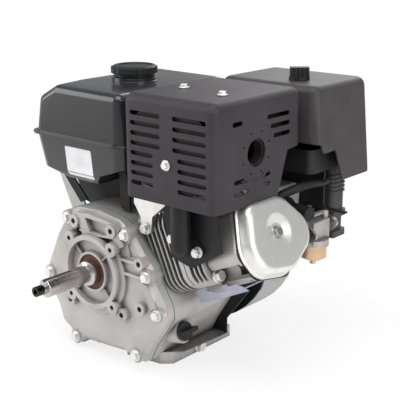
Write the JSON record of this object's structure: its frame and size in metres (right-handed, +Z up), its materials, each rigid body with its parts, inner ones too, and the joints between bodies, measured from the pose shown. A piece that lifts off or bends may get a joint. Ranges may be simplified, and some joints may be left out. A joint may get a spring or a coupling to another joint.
{
  "type": "small gasoline engine",
  "caption": "Air-cooled petrol engine with a horizontal keyed output shaft, fuel tank, muffler, air cleaner and recoil starter.",
  "frame": {"origin": "On the crank axis, in the plane of the machined ring of the crankcase cover that the driven machine bolts to; centre of the four-hole output bolt circle.", "axes": "The output shaft points along -Y. +X points across the engine towards the cylinder head. +Z is up; the base stands 132 mm below the origin."},
  "size_m": [0.411, 0.433, 0.4138],
  "materials": {
    "cast_aluminium": "sand-cast, matt",
    "zinc_steel": "bright zinc plated",
    "shaft_steel": "ground",
    "dark_steel": "oiled",
    "gasket_green": "pressed fibre",
    "gasket_black": "moulded",
    "seal_brown": "moulded",
    "black_paint": "satin black",
    "gloss_black": "gloss black",
    "guard_brown": "matt heat-proof paint",
    "hot_steel": "heat-tinted",
    "black_plastic": "moulded, fine grain",
    "grey_plastic": "moulded, fine grain",
    "red_plastic": "moulded",
    "cream_plastic": "moulded",
    "carb_metal": "die-cast",
    "bowl_brass": "pressed, dull",
    "foam": "open-cell foam",
    "cast_iron": "machined",
    "shell_grey": "satin grey",
    "black_rubber": "matt",
    "ceramic_white": "glazed",
    "rope": "braided",
    "shield_lavender": "zinc plated, satin"
  },
  "bodies": {
    "engine": {"crankcase": "cast_aluminium", "crankcase_cover": "cast_aluminium", "cover_gasket": "gasket_green", "flange_bolts": "zinc_steel", "output_seal": "seal_brown", "crank_bearings": "shaft_steel", "cylinder_head": "cast_aluminium", "head_gasket": "dark_steel", "head_bolts": "zinc_steel", "valve_cover": "zinc_steel", "valve_cover_gasket": "gasket_black", "valve_cover_bolt": "zinc_steel", "exhaust_pipe": "black_paint", "exhaust_nuts": "zinc_steel", "exhaust_shield": "black_paint", "muffler": "hot_steel", "muffler_guard": "guard_brown", "guard_screws": "zinc_steel", "muffler_bracket": "zinc_steel", "carburetor_body": "carb_metal", "float_bowl": "bowl_brass", "bowl_screw": "bowl_brass", "insulator": "black_plastic", "intake_elbow": "black_plastic", "air_cleaner_base": "black_plastic", "air_filter": "foam", "air_cleaner_cover": "grey_plastic", "tank_upper": "gloss_black", "tank_lower": "gloss_black", "tank_mounts": "black_rubber", "fan_cover": "shell_grey", "back_plate": "black_paint", "recoil_housing": "shell_grey", "recoil_rope": "rope", "breather_hose": "black_rubber", "spark_plug": "ceramic_white", "plug_boot": "black_rubber", "ignition_coil": "black_plastic", "drain_plugs": "zinc_steel", "control_bracket": "zinc_steel", "engine_switch": "black_plastic", "lower_shield": "shield_lavender"},
    "crank": {"crankshaft": "shaft_steel", "flywheel": "cast_iron", "cooling_fan": "black_plastic", "starter_cup": "zinc_steel", "flywheel_nut": "zinc_steel"},
    "cam": {"camshaft": "dark_steel"},
    "piston_set": {"piston": "cast_aluminium", "piston_pin_and_rings": "shaft_steel"},
    "grip": {"recoil_grip": "black_rubber"},
    "reel": {"recoil_reel": "black_plastic"},
    "tank_cap": {"fuel_cap": "black_plastic"},
    "oil_cap": {"oil_filler_cap": "black_plastic"},
    "cleaner_knob": {"air_cleaner_knob": "black_plastic"},
    "throttle": {"throttle_lever": "black_plastic"},
    "choke": {"choke_lever": "cream_plastic"},
    "governor": {"governor_arm": "zinc_steel"},
    "stop_knob": {"switch_knob": "red_plastic"}
  },
  "joints": [
    {"name": "crank_spin", "type": "hinge", "parent": "engine", "child": "crank", "pos_m": [0, 0.1, 0], "axis": [0, -1, 0], "continuous": true},
    {"name": "cam_spin", "type": "hinge", "parent": "engine", "child": "cam", "pos_m": [0.02562, 0.1, -0.05755], "axis": [0, -1, 0], "continuous": true},
    {"name": "piston_slide", "type": "slide", "parent": "engine", "child": "piston_set", "axis": [0.9135, 0, 0.4067], "range_m": [-0.064, 0]},
    {"name": "grip_pull", "type": "slide", "parent": "engine", "child": "grip", "axis": [-1, 0, 0], "range_m": [0, 0.8], "stiffness_N_per_m": 20, "springref_m": -0.5},
    {"name": "reel_spin", "type": "hinge", "parent": "engine", "child": "reel", "pos_m": [0, 0.28, 0], "axis": [0, -1, 0], "range_deg": [0, 840]},
    {"name": "tank_cap_turn", "type": "hinge", "parent": "engine", "child": "tank_cap", "pos_m": [-0.031, 0.129, 0.26], "axis": [0, 0, 1], "range_deg": [0, 90]},
    {"name": "oil_cap_turn", "type": "hinge", "parent": "engine", "child": "oil_cap", "pos_m": [0.127, 0.056, -0.072], "axis": [0.9703, 0, 0.2419], "range_deg": [0, 360]},
    {"name": "cleaner_knob_turn", "type": "hinge", "parent": "engine", "child": "cleaner_knob", "pos_m": [0.186, 0.236, 0.27], "axis": [0, 0, 1], "range_deg": [0, 360]},
    {"name": "throttle_swing", "type": "hinge", "parent": "engine", "child": "throttle", "pos_m": [0.1, 0.226, 0.115], "axis": [0, 0, 1], "range_deg": [-20, 25]},
    {"name": "choke_swing", "type": "hinge", "parent": "engine", "child": "choke", "pos_m": [0.226, 0.25, 0.082], "axis": [0, 0, 1], "range_deg": [-70, 0]},
    {"name": "governor_swing", "type": "hinge", "parent": "engine", "child": "governor", "pos_m": [0.204, 0.218, 0.082], "axis": [0, 0, 1], "range_deg": [-40, 0]},
    {"name": "stop_knob_turn", "type": "hinge", "parent": "engine", "child": "stop_knob", "pos_m": [0.135, 0.285, 0.089], "axis": [0, 1, 0], "range_deg": [0, 60]}
  ],
  "couplings": [
    {"joint": "cam_spin", "follows": "crank_spin", "ratio": -0.5},
    {"joint": "reel_spin", "follows": "grip_pull", "rad_per_m": 18.182}
  ]
}
